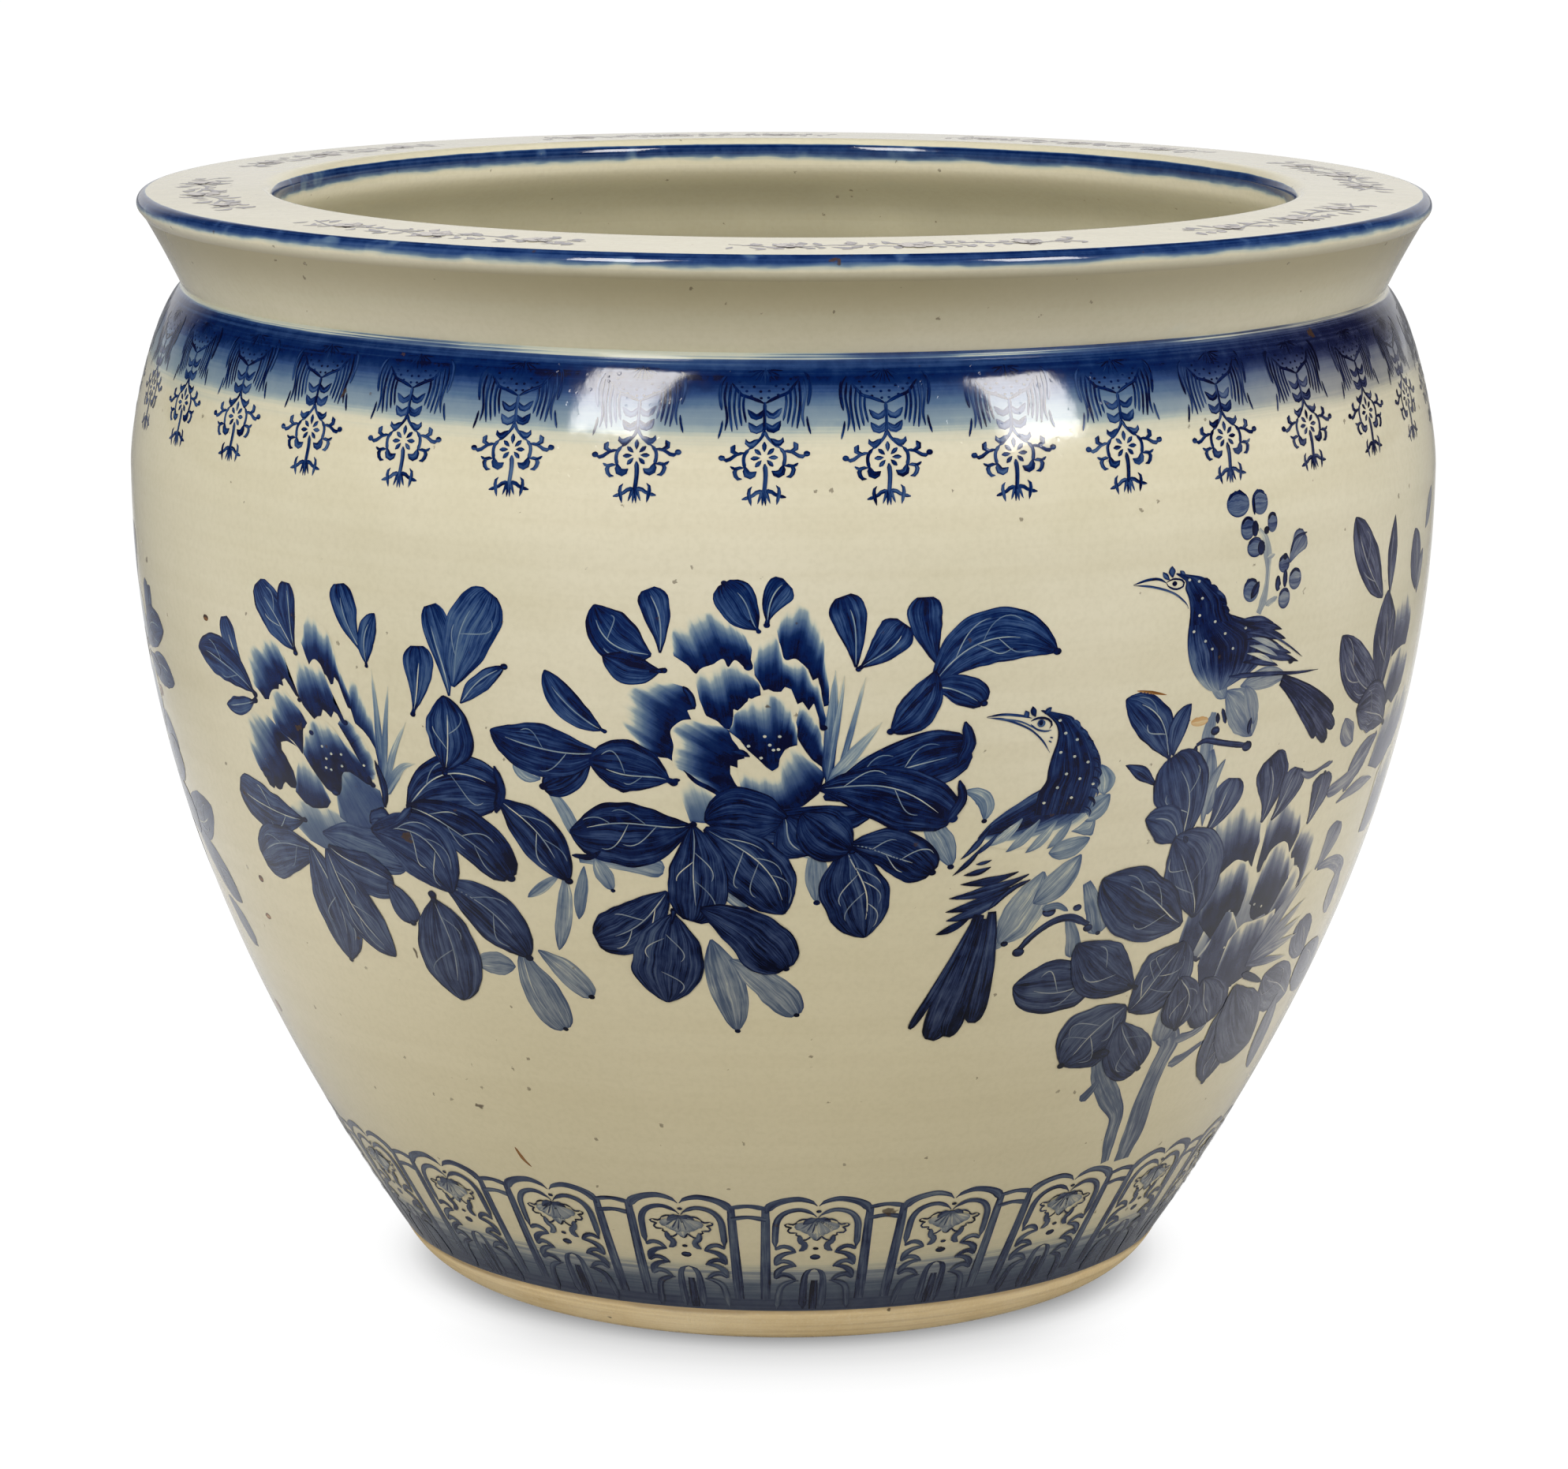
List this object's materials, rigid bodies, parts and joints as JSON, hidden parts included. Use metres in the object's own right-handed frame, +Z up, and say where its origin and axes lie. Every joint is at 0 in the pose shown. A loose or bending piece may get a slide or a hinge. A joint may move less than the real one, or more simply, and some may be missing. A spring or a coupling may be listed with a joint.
{
  "type": "chinese fish bowl jardiniere",
  "caption": "Large porcelain fish bowl and plant tub with a flat flanged rim, flaring collar, full shoulder and tapering body on a bare trimmed foot.",
  "frame": {"origin": "on the floor, under the middle of the foot", "axes": "+Z up along the axis of the bowl; -Y towards the side that the picture shows"},
  "size_m": [0.56, 0.56, 0.47],
  "materials": {
    "glaze": "clear glossy glaze with a faint grey-green tone over pale porcelain, painted underglaze blue",
    "rim_glaze": "clear glossy glaze over cream porcelain, blue along both lips",
    "bare_porcelain": "unglazed, buff, matte"
  },
  "bodies": {
    "root": {"foot_ring": "bare_porcelain", "base_slab": "glaze", "taper_section": "glaze", "belly_section": "glaze", "shoulder_section": "glaze", "collar": "glaze", "rim_flange": "rim_glaze"}
  },
  "joints": []
}
